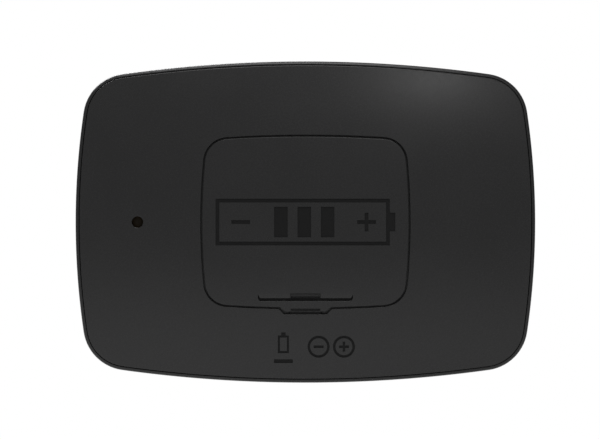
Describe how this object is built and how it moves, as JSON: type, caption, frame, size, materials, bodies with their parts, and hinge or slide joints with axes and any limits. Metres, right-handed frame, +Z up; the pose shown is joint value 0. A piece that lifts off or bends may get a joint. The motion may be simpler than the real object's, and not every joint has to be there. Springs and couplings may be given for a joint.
{
  "type": "electronic parking disc",
  "caption": "Electronic parking disc for a windscreen: flat display front with a solar strip, crowned rear cover with a latched battery door and a set switch.",
  "frame": {"origin": "middle of the adhesive frame's face, where the disc is stuck to the windscreen", "axes": "+X to the right seen from behind, +Y out of the display towards the windscreen, +Z up"},
  "size_m": [0.113, 0.0208, 0.079],
  "materials": {
    "case_black": "fine-textured moulded black plastic",
    "cover_black": "fine-textured moulded black plastic",
    "lens_clear": "polished clear acrylic",
    "mask_ink": "black screen-printed ink behind the lens",
    "sign_blue": "printed blue card with a white letter",
    "solar_dark": "amorphous solar cell with fine stripes",
    "copper_wire": "tinned copper wire",
    "polariser_film": "grey polarising film",
    "display_glass": "clear glass",
    "reflector_film": "satin reflecting film",
    "foam_black": "closed-cell foam",
    "contact_rubber": "layered conductive rubber",
    "adhesive_clear": "clear adhesive film",
    "board_green": "green solder mask",
    "screw_steel": "zinc-plated steel",
    "solder_tin": "tinned metal",
    "chip_black": "moulded epoxy",
    "can_steel": "drawn steel",
    "capacitor_sleeve": "shrink sleeve on an aluminium can",
    "ceramic_tan": "fired ceramic",
    "switch_black": "moulded plastic",
    "plunger_brown": "moulded dark brown plastic",
    "cell_sleeve": "printed sleeve on a steel can",
    "contact_nickel": "nickel-plated spring steel"
  },
  "bodies": {
    "housing": {"front_case": "case_black", "rear_cover": "cover_black", "battery_tray": "cover_black", "lens": "lens_clear", "mask_print": "mask_ink", "parking_sign": "sign_blue", "solar_cell": "solar_dark", "solar_leads": "copper_wire", "display_polariser": "polariser_film", "display_front_glass": "display_glass", "display_rear_glass": "display_glass", "display_reflector": "reflector_film", "display_foam": "foam_black", "contact_rubber": "contact_rubber", "adhesive_frame": "adhesive_clear", "circuit_board": "board_green", "board_screws": "screw_steel", "controller_chip": "chip_black", "controller_legs": "solder_tin", "charge_chip": "chip_black", "motion_sensor": "chip_black", "clock_crystal": "can_steel", "storage_capacitor": "capacitor_sleeve", "chip_capacitors": "ceramic_tan", "chip_resistors": "chip_black", "set_switch_body": "switch_black", "set_switch_plate": "can_steel", "set_switch_legs": "solder_tin", "battery_top": "cell_sleeve", "battery_middle": "cell_sleeve", "battery_bottom": "cell_sleeve", "plus_contact": "contact_nickel", "minus_contact": "contact_nickel", "left_bridge_contact": "contact_nickel", "right_bridge_contact": "contact_nickel", "spring_top": "contact_nickel", "spring_middle": "contact_nickel", "spring_bottom": "contact_nickel"},
    "door": {"battery_door": "cover_black", "door_foam": "foam_black"},
    "latch": {"latch_strip": "cover_black"},
    "set_switch": {"set_switch_plunger": "plunger_brown"}
  },
  "joints": [
    {"name": "door_swing", "type": "hinge", "parent": "housing", "child": "door", "pos_m": [0, -0.01971, 0.0213], "axis": [-1, 0, 0], "range_deg": [0, 55]},
    {"name": "latch_press", "type": "slide", "parent": "door", "child": "latch", "axis": [0, 0, 1], "range_m": [0, 0.0005], "stiffness_N_per_m": 60, "deforming": ["latch_strip"]},
    {"name": "switch_press", "type": "slide", "parent": "housing", "child": "set_switch", "axis": [0, 1, 0], "range_m": [0, 0.0003], "stiffness_N_per_m": 40}
  ]
}
